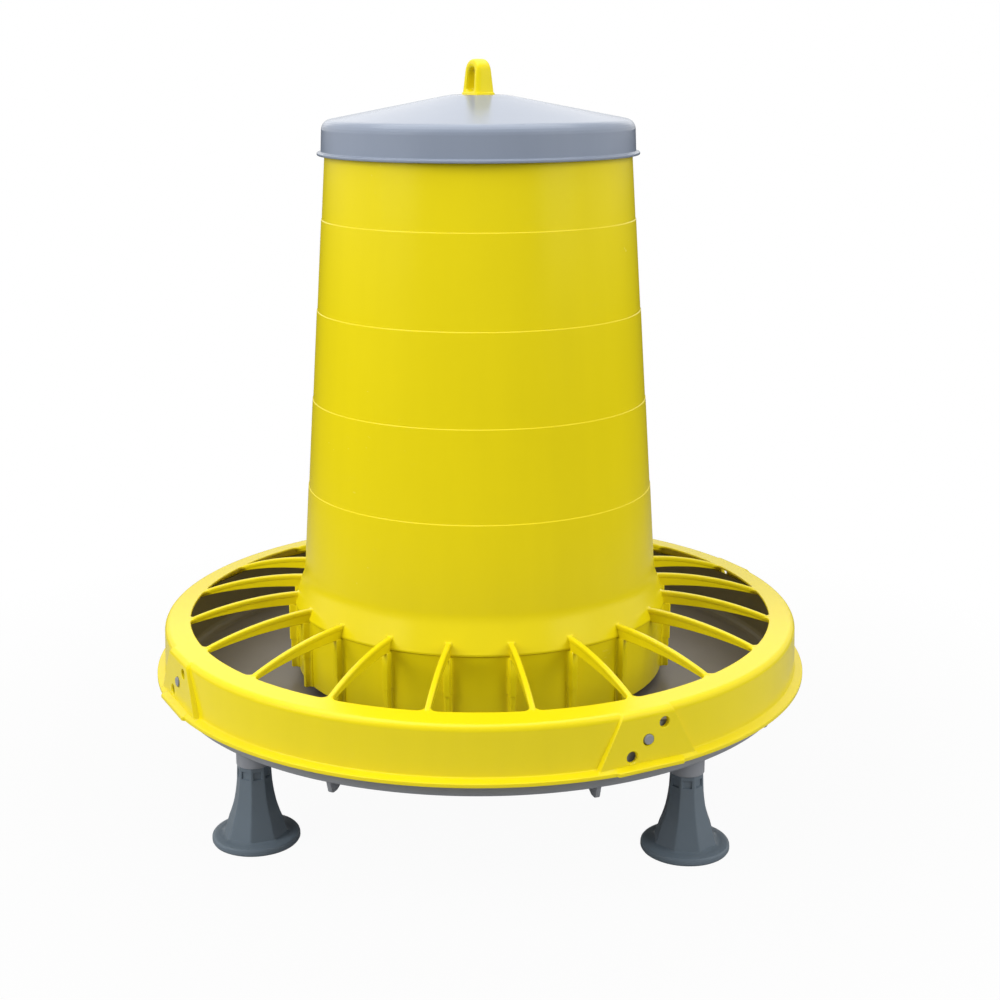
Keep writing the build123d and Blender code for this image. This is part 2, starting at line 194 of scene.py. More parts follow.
def make_skin_relief():
    """What a moulding's skin shows up close: a fine orange peel, and long shallow sinks from cooling."""
    tree, given, out = new_group(
        "moulded_skin_relief",
        [("Peel Depth", "NodeSocketFloat", PEEL_DEPTH), ("Sink Depth", "NodeSocketFloat", SINK_DEPTH)],
        [("Normal", "NodeSocketVector")],
    )
    place = add_node(tree, "ShaderNodeTexCoord").outputs["Object"]
    peel = add_node(tree, "ShaderNodeTexNoise", [("Vector", place), ("Scale", 900.0), ("Detail", 2.0)])
    sink = add_node(tree, "ShaderNodeTexNoise", [("Vector", place), ("Scale", 22.0), ("Detail", 1.0)])
    sunk = add_node(
        tree, "ShaderNodeBump",
        [("Height", sink.outputs["Fac"]), ("Distance", given.outputs["Sink Depth"]), ("Strength", 1.0)],
    )
    peeled = add_node(
        tree, "ShaderNodeBump",
        [("Height", peel.outputs["Fac"]), ("Distance", given.outputs["Peel Depth"]), ("Strength", 1.0),
         ("Normal", sunk.outputs["Normal"])],
    )
    tree.links.new(peeled.outputs["Normal"], out.inputs["Normal"])
    return tree


def make_pigment_drift():
    """Pigment that isn't quite even: broad cloudy drift with faint streaks along the flow of the plastic."""
    tree, given, out = new_group(
        "pigment_drift",
        [("Color", "NodeSocketColor", (0.5, 0.5, 0.5, 1)), ("Amount", "NodeSocketFloat", 0.05)],
        [("Color", "NodeSocketColor")],
    )
    place = add_node(tree, "ShaderNodeTexCoord").outputs["Object"]
    flow = add_node(tree, "ShaderNodeMapping", [("Vector", place), ("Scale", (1.0, 1.0, 0.12))])
    streaks = add_node(
        tree, "ShaderNodeTexNoise", [("Vector", flow.outputs["Vector"]), ("Scale", 70.0), ("Detail", 3.0)]
    )
    clouds = add_node(tree, "ShaderNodeTexNoise", [("Vector", place), ("Scale", 9.0), ("Detail", 2.0)])
    both = add_node(
        tree, "ShaderNodeMath", [(0, streaks.outputs["Fac"]), (1, clouds.outputs["Fac"])], operation="ADD"
    )
    swing = add_node(tree, "ShaderNodeMath", [(0, both.outputs[0]), (1, 1.0)], operation="SUBTRACT")
    scaled = add_node(
        tree, "ShaderNodeMath", [(0, swing.outputs[0]), (1, given.outputs["Amount"]), (2, 1.0)],
        operation="MULTIPLY_ADD",
    )
    shade = add_node(
        tree, "ShaderNodeHueSaturation", [("Color", given.outputs["Color"]), ("Value", scaled.outputs[0])]
    )
    tree.links.new(shade.outputs["Color"], out.inputs["Color"])
    return tree


def make_handling_marks():
    """Hairline scuffs from handling, as a mask: thin ridges of stretched noise two ways, in patches."""
    tree, given, out = new_group(
        "handling_marks", [("Amount", "NodeSocketFloat", 0.5)], [("Mask", "NodeSocketFloat")]
    )
    place = add_node(tree, "ShaderNodeTexCoord").outputs["Object"]
    masks = []
    for turn, stretch in (((0.3, 0.2, 0.5), (18.0, 260.0, 260.0)), ((1.1, 0.4, 2.1), (260.0, 22.0, 260.0))):
        lie = add_node(
            tree, "ShaderNodeMapping", [("Vector", place), ("Rotation", turn), ("Scale", stretch)]
        )
        hair = add_node(
            tree, "ShaderNodeTexNoise", [("Vector", lie.outputs["Vector"]), ("Scale", 1.0), ("Detail", 2.0)]
        )
        masks.append(add_node(
            tree, "ShaderNodeMapRange",
            [("Value", hair.outputs["Fac"]), ("From Min", 0.66), ("From Max", 0.74)],
        ).outputs["Result"])
    patch = add_node(tree, "ShaderNodeTexNoise", [("Vector", place), ("Scale", 14.0), ("Detail", 2.0)])
    where = add_node(
        tree, "ShaderNodeMapRange", [("Value", patch.outputs["Fac"]), ("From Min", 0.48), ("From Max", 0.66)]
    )
    lines = add_node(tree, "ShaderNodeMath", [(0, masks[0]), (1, masks[1])], operation="MAXIMUM")
    placed = add_node(
        tree, "ShaderNodeMath", [(0, lines.outputs[0]), (1, where.outputs["Result"])], operation="MULTIPLY"
    )
    strength = add_node(
        tree, "ShaderNodeMath", [(0, placed.outputs[0]), (1, given.outputs["Amount"])], operation="MULTIPLY"
    )
    tree.links.new(strength.outputs[0], out.inputs["Mask"])
    return tree


SKIN_RELIEF = make_skin_relief()
PIGMENT_DRIFT = make_pigment_drift()
HANDLING_MARKS = make_handling_marks()


def moulded_plastic(name, colour, roughness, drift=0.05, scuffs=0.1, shade_tint=None):
    """Semi-gloss moulded plastic: drifting pigment, an orange-peel skin, and faint pale scuffs that are a bit
    rougher. A tint group, where one is given, paints shade into the pigment by tinting it darker."""
    material = bpy.data.materials.new(name)
    material.use_nodes = True
    tree = material.node_tree
    tree.nodes.clear()
    pigment = add_node(
        tree, "ShaderNodeGroup", [("Color", (*colour, 1)), ("Amount", drift)], node_tree=PIGMENT_DRIFT
    ).outputs["Color"]
    # A tint group given here paints shade into the pigment.
    if shade_tint:
        pigment = add_node(tree, "ShaderNodeGroup", [("Color", pigment)], node_tree=shade_tint).outputs["Color"]
    relief = add_node(tree, "ShaderNodeGroup", node_tree=SKIN_RELIEF)
    marks = add_node(tree, "ShaderNodeGroup", [("Amount", scuffs)], node_tree=HANDLING_MARKS).outputs["Mask"]
    fade = add_node(tree, "ShaderNodeMath", [(0, marks), (1, SCUFF_FADE)], operation="MULTIPLY")
    scuffed = (*[0.5 + channel / 2 for channel in colour], 1)
    worn = add_node(
        tree, "ShaderNodeMix", [(0, fade.outputs[0]), (6, pigment), (7, scuffed)], data_type="RGBA"
    )
    rough = add_node(
        tree, "ShaderNodeMapRange",
        [("Value", marks), ("To Min", roughness), ("To Max", roughness + SCUFF_ROUGHENING)],
    )
    shader = add_node(
        tree, "ShaderNodeBsdfPrincipled",
        [("Base Color", worn.outputs[2]), ("Roughness", rough.outputs["Result"]),
         ("Normal", relief.outputs["Normal"]), ("IOR", PLASTIC_IOR)],
    )
    add_node(tree, "ShaderNodeOutputMaterial", [("Surface", shader.outputs["BSDF"])])
    return material


yellow_plastic = moulded_plastic("yellow_moulding", YELLOW, 0.25)


def barrel_profile():
    """Section of the barrel's wall: outside from the mouth down over the steps, the flare and the collar's
    rim to the skirt, then back up the inside one wall in. Each step is a corner above and one below it, a
    step's width lower and further out."""
    radii = STEP_TOP_RADIUS + STEP_GAIN * np.arange(STEP_COUNT)
    heights = STEP_TOP_Z - STEP_DROP * np.arange(STEP_COUNT)
    rounds = np.full(STEP_COUNT, STEP_ROUND)
    above = np.stack([radii, heights, rounds], axis=1)
    below = np.stack([radii + STEP_WIDTH, heights - STEP_WIDTH, rounds], axis=1)
    steps = np.stack([above, below], axis=1).reshape(-1, 3)
    top_radius = STEP_TOP_RADIUS - BARREL_DRAFT * (BARREL_TOP_Z - STEP_TOP_Z)
    flare_radius = below[-1, 0] + BARREL_DRAFT * (below[-1, 1] - FLARE_Z)
    skirt_foot = SKIRT_RADIUS - SKIRT_DRAFT
    return rounded_path([
        (top_radius, BARREL_TOP_Z, MOUTH_ROUND),
        *steps,
        (flare_radius, FLARE_Z, FLARE_ROUND),
        (RIM_RADIUS, RIM_Z, 0.8),
        (RIM_RADIUS, RIM_Z - RIM_THICKNESS, 0.3),
        (SKIRT_RADIUS, RIM_Z - RIM_THICKNESS - 0.7, 0.4),
        (skirt_foot, SKIRT_BOTTOM_Z, 0.5),
        (skirt_foot - WALL, SKIRT_BOTTOM_Z, 0.5),
        (SKIRT_RADIUS - WALL, RIM_Z - 3.0, 8),
        (flare_radius - WALL, FLARE_Z - 2.0, FLARE_ROUND),
        (top_radius - WALL, BARREL_TOP_Z, MOUTH_ROUND),
    ])


barrel_turn = np.radians(np.arange(0, 360, 1.0))
make_piece(
    "hopper_barrel", [skin(turned(barrel_profile(), barrel_turn))],
    yellow_plastic, ["hopper"],
)


# Grille ribs and skirt fins
# Twenty thin arched ribs that keep birds out of the pan, each with a rounded bead along its top and a fin
# below it on the skirt. They are part of the yellow moulding, so every root runs out in a small fillet.

RIB_COUNT = 20
RIB_PITCH = 360 / RIB_COUNT
BEAD_HALF = 1.9
BEAD_ROUND = 1.3
BEAD_DEPTH = 3.4
WEB_HALF = 1.4
ROOT_X = 132.3
ROOT_FILLET = 1.5
ROOT_SWELL_UP = 0.3
RIB_START_X = 130.5
RIB_TIP_X = 213.0
RIB_TOP_LINE = (136.1, 0.05)
RIB_TOP_ARC = ((140.0, 135.6), (176.0, 130.2), (213.0, 118.6))
RIB_LOW_LINE = (126.6, 0.11)
RIB_LOW_ARC = ((136.0, 126.0), (173.0, 123.1), (213.0, 114.4))
FIN_RADIUS = 139.6
FIN_HALF = 2.2
FIN_ROUND = 0.8
FIN_SLIMMING = 0.8
FIN_ROOT_FILLET = 1.4
FIN_STEP_Z = 100.5
FIN_TOP_Z = 126.6
BARE_RIB_TURN = 306.0


def arc_height(x, first, middle, last):
    """Height at x of the circle through three points (x, z), on its upper side."""
    (x0, z0), (x1, z1), (x2, z2) = first, middle, last
    sides = 2 * np.array([[x1 - x0, z1 - z0], [x2 - x0, z2 - z0]])
    squares = np.array([x1**2 + z1**2 - x0**2 - z0**2, x2**2 + z2**2 - x0**2 - z0**2])
    cx, cz = np.linalg.solve(sides, squares)
    radius = np.hypot(x0 - cx, z0 - cz)
    return cz + np.sqrt(radius**2 - (x - cx) ** 2)


def edge_height(x, line, arc):
    """Height of a rib's edge: the line z = height - fall (x - start) as far as its arc, then the arc."""
    height, fall = line
    return np.where(x < arc[0][0], height - (x - RIB_START_X) * fall, arc_height(x, *arc))


def fillet_swell(distance, radius):
    """How far a concave fillet stands out of a wall at a distance from the wall that it runs into."""
    inside = np.clip(radius - distance, 0, radius)
    return radius - np.sqrt(radius**2 - inside**2)


def rib_grid():
    """A rib along +X. Across it, a rounded bead sits on a narrower web: going down one side, y = bead
    half-width with a quarter round at the top, then y = web half-width to the arched lower edge. Both
    swell at the root."""
    x = np.concatenate([
        np.linspace(RIB_START_X - 1, 136, 14), np.linspace(138, 208, 36), np.linspace(209.5, RIB_TIP_X, 4),
    ])
    swell = fillet_swell(x - ROOT_X, ROOT_FILLET)
    top = edge_height(x, RIB_TOP_LINE, RIB_TOP_ARC) + ROOT_SWELL_UP * swell
    low = edge_height(x, RIB_LOW_LINE, RIB_LOW_ARC) - swell
    under = top - BEAD_DEPTH
    bead = BEAD_HALF + swell
    web = WEB_HALF + swell
    turn = np.radians(np.arange(0, 91, 18))
    round_y = [bead - BEAD_ROUND + BEAD_ROUND * np.sin(a) for a in turn]
    round_z = [top - BEAD_ROUND + BEAD_ROUND * np.cos(a) for a in turn]
    side_y = np.stack([*round_y, bead, bead - 0.25, web + 0.3, web, web, web, web - 0.5], axis=1)
    side_z = np.stack([
        *round_z, under + 0.5, under + 0.05, under, under - 0.3, under - 0.6, low + 0.5, low,
    ], axis=1)
    y = np.concatenate([side_y, -side_y[:, ::-1]], axis=1)
    z = np.concatenate([side_z, side_z[:, ::-1]], axis=1)
    return capped(np.stack([np.broadcast_to(x[:, None], y.shape), y, z], axis=-1))


def fin_grid():
    """A fin along +X: the same flat section at every height, a little slimmer under its step, with round
    corners at its outer edge and a fillet where it leaves the skirt."""
    z = np.concatenate([
        SKIRT_BOTTOM_Z + np.array([0.1, 0.5]), [90], FIN_STEP_Z + np.array([-0.5, -0.1, 0.1, 0.5]), [112],
        FIN_TOP_Z + np.array([-0.5, 0]),
    ])
    slim = np.where(z < FIN_STEP_Z, FIN_SLIMMING, 0.0)
    slim[[0, -1]] += 0.35
    depth = SKIRT_RADIUS + np.array([-2.0, 0.0, 0.25, 0.6, 1.2, 2.0, 4.6])
    turn = np.radians(np.arange(0, 91, 18))
    corner_x = FIN_RADIUS - FIN_ROUND + FIN_ROUND * np.sin(turn)
    corner_y = FIN_HALF - FIN_ROUND + FIN_ROUND * np.cos(turn)
    side_x = np.concatenate([depth, corner_x])
    side_y = np.concatenate([FIN_HALF + fillet_swell(depth - SKIRT_RADIUS, FIN_ROOT_FILLET), corner_y])
    x = np.concatenate([side_x, side_x[::-1]])
    y = np.concatenate([side_y, -side_y[::-1]])
    x = np.where(x > FIN_RADIUS - 1.6, x - slim[:, None], x)
    y = y - np.sign(y) * slim[:, None] * 0.6
    return capped(np.stack([x, y, np.broadcast_to(z[:, None], x.shape)], axis=-1))


rib_turns = RIB_PITCH * np.arange(RIB_COUNT)
rib_skins = [skin(spun(rib_grid(), turn), loop=False) for turn in rib_turns]
rib_skins += [skin(spun(fin_grid(), turn), loop=False) for turn in rib_turns if turn != BARE_RIB_TURN]
rib_nodes = [f"rib_{number:02d}" for number in range(1, RIB_COUNT + 1)]
make_piece("grille_ribs", rib_skins, yellow_plastic, rib_nodes, crease=40)


# Outer ring
# The broad yellow ring that the ribs run out to, with a row of rounded windows inside it, a drafted wall, and
# a flange at its foot. Four flat pads with three holes each let it hang on the pan's pegs at three heights.

RING_INNER = 210.0
RING_TOP_Z = 119.7
RING_SLOPE = 0.104
RING_WALL_TOP = 228.2
RING_WALL_FOOT = 229.2
RING_CORNER_Z = 117.8
FLANGE_TOP_Z = 85.0
FLANGE_EDGE_Z = 83.0
FLANGE_RADIUS = 235.0
RING_BOTTOM_Z = 80.4
WINDOW_CORNER = 5.0
STRIP_END = 216.0
CHORD_START = 231.0
PAD_PLANE_TOP = 229.5
PAD_PLANE_FOOT = 230.5
PAD_HALF_TOP = 18.0
PAD_HALF_FOOT = 36.5
PAD_FLANGE_PLANE = 235.5
PAD_FLANGE_HALF = 24.2
PAD_BLEND = 0.24
POCKET_INSET = 0.6
HOLE_RADIUS = 3.6
HOLE_Z = 98.9
HOLE_RISE = 9.5
HOLE_SHIFT = 11.8


def smooth_ramp(x):
    """0 below 0, 1 above 1, and 3x^2 - 2x^3 between."""
    x = np.clip(x, 0, 1)
    return x * x * (3 - 2 * x)


def ring_grid():
    """The ring's section carried round, with three changes by angle. Near a rib the inner edge runs in, so
    that each window has round corners. Within a pad the wall stands out to a flat plane, radius = plane /
    cos(angle from the pad), and the columns lean with the pad's sides. The flange's edge is a chord below."""
    section = rounded_path([
        (RING_INNER, RING_TOP_Z, 0.8),
        (RING_WALL_TOP, RING_CORNER_Z, 4.5),
        (RING_WALL_FOOT, FLANGE_TOP_Z, 1.2),
        (FLANGE_RADIUS, FLANGE_EDGE_Z, 0.8),
        (FLANGE_RADIUS, RING_BOTTOM_Z, 0.4),
        (RING_WALL_FOOT - WALL, RING_BOTTOM_Z, 0.3),
        (RING_WALL_TOP - WALL, RING_CORNER_Z - WALL, 2.3),
        (RING_INNER, RING_TOP_Z - 2.1, 0.8),
    ])
    radius, height = section[:, :1], section[:, 1:]
    outside = (np.arange(len(section)) <= np.argmax(section[:, 0]))[:, None]

    pad_edge = np.degrees(np.arctan(PAD_HALF_TOP / PAD_PLANE_TOP))
    foot_edge = np.degrees(np.arctan(PAD_HALF_FOOT / PAD_PLANE_FOOT))
    chord_edge = np.degrees(np.arctan(PAD_FLANGE_HALF / PAD_FLANGE_PLANE)) * pad_edge / foot_edge
    corner_steps = np.array([0, 1.2, 1.9, 2.1, 2.6, 3.3, 4.3, 5.5, 6.9, 8.2]) / np.radians(RING_INNER)
    window_steps = np.concatenate([corner_steps, np.linspace(2.9, RIB_PITCH / 2, 11)])
    edge_steps = np.array([-0.3, -0.16, -0.1, -0.04, 0.04, 0.1, 0.16, 0.3])
    pocket_edge = pad_edge - POCKET_INSET
    pad_steps = np.concatenate([pad_edge + edge_steps, pocket_edge + edge_steps, chord_edge + edge_steps])
    columns = np.concatenate([
        (rib_turns[:, None] + np.concatenate([window_steps, -window_steps])).ravel(),
        (np.arange(0, 360, 90)[:, None] + np.concatenate([pad_steps, -pad_steps])).ravel(),
    ])
    columns = np.unique(np.round(columns % 360, 3))
    from_pad = (columns + 45) % 90 - 45
    pad_middle = columns - from_pad
    away = np.abs(from_pad)

    sunk = np.clip((RING_CORNER_Z - height) / (RING_CORNER_Z - FLANGE_EDGE_Z), 0, 1)
    half_width = PAD_HALF_TOP + (PAD_HALF_FOOT - PAD_HALF_TOP) * sunk
    plane = PAD_PLANE_TOP + (PAD_PLANE_FOOT - PAD_PLANE_TOP) * sunk
    edge = np.degrees(np.arctan(half_width / plane))
    within = away * edge / pad_edge
    beyond = edge + (away - pad_edge) * (45 - edge) / (45 - pad_edge)
    lean = np.where(away < pad_edge, within, beyond)
    angle = np.radians(np.sign(from_pad) * lean)

    on_pad = smooth_ramp((pad_edge + PAD_BLEND / 2 - away) / PAD_BLEND)
    wall_here = RING_WALL_TOP + (RING_WALL_FOOT - RING_WALL_TOP) * sunk
    stand_out = np.maximum(plane / np.cos(angle) - np.maximum(radius, wall_here), 0)
    pad_out = stand_out * on_pad * smooth_ramp((radius - STRIP_END) / 7) * outside
    in_pocket = smooth_ramp((pocket_edge + PAD_BLEND / 2 - away) / PAD_BLEND)
    pocket_out = np.maximum((plane - WALL) / np.cos(angle) - radius, 0) * in_pocket
    pocket_out = pocket_out * smooth_ramp((RING_CORNER_Z - 4 - height) / 2) * ~outside
    pocket_out = np.where(radius > RING_WALL_FOOT, 0, pocket_out)
    on_chord = smooth_ramp((chord_edge + PAD_BLEND / 2 - away) / PAD_BLEND)
    chord_out = (PAD_FLANGE_PLANE / np.cos(angle) - FLANGE_RADIUS) * on_chord
    chord_out = chord_out * np.clip((radius - CHORD_START) / (FLANGE_RADIUS - CHORD_START), 0, 1)

    rib_distance = np.radians(np.abs((columns + RIB_PITCH / 2) % RIB_PITCH - RIB_PITCH / 2)) * RING_INNER
    on_strip = np.clip((STRIP_END - radius) / (STRIP_END - RING_INNER), 0, 1)
    run_in = fillet_swell(rib_distance - BEAD_HALF, WINDOW_CORNER) * on_strip

    r = radius + pad_out + pocket_out + chord_out - run_in
    z = height + RING_SLOPE * (run_in - pad_out * (height > RING_CORNER_Z - 5))
    turn = np.radians(pad_middle) + angle
    return np.stack([r * np.cos(turn), r * np.sin(turn), z], axis=-1)


def cut_holes(piece, cutter_skins):
    """Cuts closed cutters out of a piece, exactly, and leaves the result in its mesh."""
    cutter = make_piece("hole_cutters", cutter_skins, yellow_plastic)
    cut = piece.modifiers.new("holes", "BOOLEAN")
    cut.operation = "DIFFERENCE"
    cut.solver = "EXACT"
    cut.object = cutter
    shape = bpy.data.meshes.new_from_object(piece.evaluated_get(bpy.context.evaluated_depsgraph_get()))
    piece.modifiers.clear()
    piece.data = shape
    bpy.data.objects.remove(cutter)


def hole_cutter_skins():
    """Round cutters for all pads. Each is a pin along the pad's normal that flares at the pad's face."""
    profile = np.array([
        (0, 214), (HOLE_RADIUS, 214), (HOLE_RADIUS, 229.4), (HOLE_RADIUS + 0.9, 230.6), (0, 238),
    ])
    pin = turned(profile, np.radians(np.arange(0, 360, 11.25)))
    lying = np.stack([pin[..., 2], pin[..., 0], pin[..., 1]], axis=-1)
    return [
        skin(spun(lying + np.array([0, step * HOLE_SHIFT, HOLE_Z + step * HOLE_RISE]), pad), loop=False)
        for pad in range(0, 360, 90)
        for step in (-1, 0, 1)
    ]


ring = make_piece("grille_ring", [skin(ring_grid())], yellow_plastic, ["ring"])
cut_holes(ring, hole_cutter_skins())
finish_surface(ring, yellow_plastic, 30)


# Feed pan
# The grey tray that the ring sits on, moulded with a cone in its middle that spreads the feed. Four pegs on
# its wall fill the pads' middle holes. Below it are four sleeves for the feet and eight small gussets.

PAN_RADIUS = 225.6
PAN_FLOOR_Z = 72.0
PAN_BOTTOM_Z = 70.0
PAN_RIM_Z = 107.5
PAN_WALL = 2.0
PAN_DRAFT = 0.6
CONE_RADIUS = 66.0
CONE_TOP_Z = 122.0
CONE_FLAT = 7.0
CONE_BEND = 12.0
CONE_WALL = 3.0
PEG_RADIUS = 3.3
PEG_TIP = 231.1
SLEEVE_RADIUS = 11.6
SLEEVE_BORE = 9.1
SEAM_Z = 54.0
GUSSET_COUNT = 8
GUSSET_TURN = 37.5
FOOT_CIRCLE = 202.8
FOOT_ANGLES = {"front_left": 195.0, "front_right": 285.0, "rear_right": 15.0, "rear_left": 105.0}
PAN_GREY = (0.27, 0.283, 0.312)
# Warm tint of the shade painted inside the trough.
TROUGH_SHADE_TINT = (0.66, 0.56, 0.44)


def make_trough_painted_shade():
    """Painted shade inside the pan: a warm brownish darkening of the trough, like the yellow-tinged shade
    under the ring. It is a mask that is 1 where the distance from the axis is under the wall's and the height
    is over the floor's, times a warm tint."""
    tree, given, out = new_group(
        "trough_painted_shade",
        [("Color", "NodeSocketColor", (0.5, 0.5, 0.5, 1)), ("Tint", "NodeSocketColor", (*TROUGH_SHADE_TINT, 1))],
        [("Color", "NodeSocketColor")],
    )
    place = add_node(tree, "ShaderNodeTexCoord").outputs["Object"]
    flat = add_node(tree, "ShaderNodeVectorMath", [(0, place), (1, (1.0, 1.0, 0.0))], operation="MULTIPLY")
    reach = add_node(tree, "ShaderNodeVectorMath", [(0, flat.outputs[0])], operation="LENGTH")
    height = add_node(tree, "ShaderNodeSeparateXYZ", [(0, place)])
    inside = add_node(
        tree, "ShaderNodeMapRange",
        [("Value", reach.outputs["Value"]), ("From Min", 0.2243), ("From Max", 0.2247), ("To Min", 1.0),
         ("To Max", 0.0)],
    )
    above = add_node(
        tree, "ShaderNodeMapRange",
        [("Value", height.outputs["Z"]), ("From Min", 0.0712), ("From Max", 0.0718)],
    )
    mask = add_node(
        tree, "ShaderNodeMath", [(0, inside.outputs["Result"]), (1, above.outputs["Result"])],
        operation="MULTIPLY",
    )
    tinted = add_node(
        tree, "ShaderNodeMix",
        [(0, mask.outputs[0]), (6, given.outputs["Color"]), (7, given.outputs["Tint"])],
        data_type="RGBA", blend_type="MULTIPLY",
    )
    tree.links.new(tinted.outputs[2], out.inputs["Color"])
    return tree


# Inside the trough the pan's pigment is darkened and warmed brown: painted shade.
pan_plastic = moulded_plastic(
    "pan_moulding", PAN_GREY, 0.38, drift=0.1, scuffs=0.3, shade_tint=make_trough_painted_shade()
)


def plate_skin(outline, half, edge):
    """A flat plate on X and Z: its outline at both faces, drawn in a little by the round of its edge."""
    middle = outline.mean(axis=0)
    reach = np.linalg.norm(outline - middle, axis=1).mean()
    levels = np.array([-half, -half + edge * 0.3, -half + edge, half - edge, half - edge * 0.3, half])
    drawn = 1 - np.array([edge, edge * 0.3, 0, 0, edge * 0.3, edge]) / reach
    flat = middle + (outline - middle) * drawn[:, None, None]
    y = np.broadcast_to(levels[:, None], flat.shape[:2])
    return capped(np.stack([flat[..., 0], y, flat[..., 1]], axis=-1))


pan_turn = np.radians(np.arange(0, 360, 1.5))
pan_bowl = turned(rounded_path([
    (0, CONE_TOP_Z, 0),
    (CONE_FLAT, CONE_TOP_Z, 4),
    (CONE_RADIUS, PAN_FLOOR_Z, CONE_BEND),
    (PAN_RADIUS - PAN_WALL - PAN_DRAFT, PAN_FLOOR_Z, 8),
    (PAN_RADIUS - PAN_WALL, PAN_RIM_Z, 0.8),
    (PAN_RADIUS, PAN_RIM_Z, 0.8),
    (PAN_RADIUS - PAN_DRAFT, PAN_BOTTOM_Z, 2),
    (CONE_RADIUS + 1, PAN_BOTTOM_Z, CONE_BEND),
    (CONE_FLAT - 1, CONE_TOP_Z - CONE_WALL, 3),
    (0, CONE_TOP_Z - CONE_WALL, 0),
], closed=False), pan_turn)
small_turn = np.radians(np.arange(0, 360, 7.5))
sleeve = turned(rounded_path([
    (SLEEVE_BORE, SEAM_Z, 0.3),
    (SLEEVE_RADIUS, SEAM_Z, 0.5),
    (SLEEVE_RADIUS, PAN_BOTTOM_Z, 2.5),
    (SLEEVE_RADIUS + 5, PAN_BOTTOM_Z + 0.4, 0),
    (SLEEVE_BORE, PAN_BOTTOM_Z + 1.0, 0),
]), small_turn) + np.array([FOOT_CIRCLE, 0, 0])
gusset = plate_skin(
    rounded_path([(192, 71, 0), (222, 71, 0), (219, 60.5, 2.5), (213, 60.5, 3)]), half=1.6, edge=0.4
)
gusset_turns = GUSSET_TURN + 360 / GUSSET_COUNT * np.arange(GUSSET_COUNT)
peg = turned(rounded_path([
    (0, PEG_TIP, 0), (PEG_RADIUS, PEG_TIP, 0.6), (PEG_RADIUS, PAN_RADIUS - 1.5, 0), (0, PAN_RADIUS - 1.5, 0),
], closed=False), small_turn)
peg = np.stack([peg[..., 2], peg[..., 0], peg[..., 1] + HOLE_Z + HOLE_RADIUS - PEG_RADIUS], axis=-1)
make_piece(
    "pan_tray",
    [skin(pan_bowl, loop=False)]
    + [skin(spun(sleeve, angle)) for angle in FOOT_ANGLES.values()]
    + [skin(spun(gusset, angle), loop=False) for angle in gusset_turns]
    + [skin(spun(peg, 90 * step), loop=False) for step in range(4)],
    pan_plastic, ["pan", "pan_cone", "pan_wall"],
)


# Feet
# Four dark grey horns with eight faces and a round base, moulded hollow and pushed up into the pan's sleeves.
# Each face has a small rectangular recess just below the seam.

FOOT_TURNS = {"front_left": 0.0, "front_right": 22.5, "rear_right": 0.0, "rear_left": 22.5}
FOOT_BASE_RADIUS = 29.4
FOOT_BASE_Z = 5.0
SPIGOT_RADIUS = 9.0
SPIGOT_TOP_Z = 69.0
HORN_TOP_Z = 54.2
HORN_SHARPNESS = 90
RECESS_HALF = 15.0
RECESS_LOW_Z = 46.0
RECESS_HIGH_Z = 51.0
RECESS_DEPTH = 1.1
FOOT_GREY = (0.125, 0.158, 0.19)

foot_plastic = moulded_plastic("foot_moulding", FOOT_GREY, 0.33, drift=0.08, scuffs=0.3)


def foot_grid():
    """Outside of a foot from the top down, then its hollow from the base up. Each row is a circle or, on the
    horn, an eight-sided ring with slightly soft corners, r = R (sum of max(cos(a - face), 0)^p)^(-1/p)."""
    horn_z = np.array([
        54, 52.5, 51.3, 51.0, 50.7, 48.5, 46.3, 46.0, 45.7, 42, 37, 32.5, 28, 24, 20, 16.5, 13, 10, 7.5, 5.8,
    ])
    horn_r = np.interp(
        horn_z,
        [4.4, 8, 11, 15.5, 19.5, 24, 28, 32.5, 37, 42, 54],
        [21.9, 20.6, 19.6, 18.4, 16.8, 15.3, 14.2, 13.3, 12.6, 12.0, 11.4],
    )
    cap = [
        (0, SPIGOT_TOP_Z, 0), (SPIGOT_RADIUS, SPIGOT_TOP_Z, 0),
        (SPIGOT_RADIUS, HORN_TOP_Z, 0), (10.9, HORN_TOP_Z, 0.6),
    ]
    horn = [(r, z, 1) for r, z in zip(horn_r, horn_z)]
    base = [
        (22.6, FOOT_BASE_Z + 0.3, 0.75), (24.0, FOOT_BASE_Z, 0), (27.2, FOOT_BASE_Z, 0), (28.5, 4.6, 0),
        (29.2, 3.7, 0), (FOOT_BASE_RADIUS, 2.8, 0), (FOOT_BASE_RADIUS, 1.0, 0), (28.8, 0, 0),
    ]
    hollow = [
        (18.0, 0, 0), (17.6, 0.4, 0), (12.5, 20, 0), (10.0, 36, 0),
        (8.2, 52, 0), (7.0, 56, 0), (7.0, 66, 0), (0, 67, 0),
    ]
    rows = np.array(cap + horn + base + hollow)
    radius, height, sides = rows[:, :1], rows[:, 1:2], rows[:, 2:]
    from_face = np.array([
        -22.5, -21.5, -19, -17, -16, -15.4, -14.6, -14, -8, 0, 8, 14, 14.6, 15.4, 16, 17, 19, 21.5,
    ])
    angle = np.radians((np.arange(0, 360, 45)[:, None] + 22.5 + from_face).ravel())
    faces = np.radians(np.arange(0, 360, 45) + 22.5)
    towards = np.maximum(np.cos(angle[:, None] - faces), 0) ** HORN_SHARPNESS
    ring_shape = np.cos(np.pi / 8) * towards.sum(axis=1) ** (-1 / HORN_SHARPNESS)
    r = radius * (1 + sides * (ring_shape - 1))
    aside = np.abs(np.degrees(angle) % 45 - 22.5)
    across = smooth_ramp((RECESS_HALF + 0.4 - aside) / 0.8)
    over_low = smooth_ramp((height - RECESS_LOW_Z + 0.15) / 0.3)
    under_high = smooth_ramp((RECESS_HIGH_Z + 0.15 - height) / 0.3)
    r = r - RECESS_DEPTH * across * (over_low * under_high) * (sides == 1)
    z = np.broadcast_to(height, r.shape)
    return np.stack([r * np.cos(angle), r * np.sin(angle), z], axis=-1)


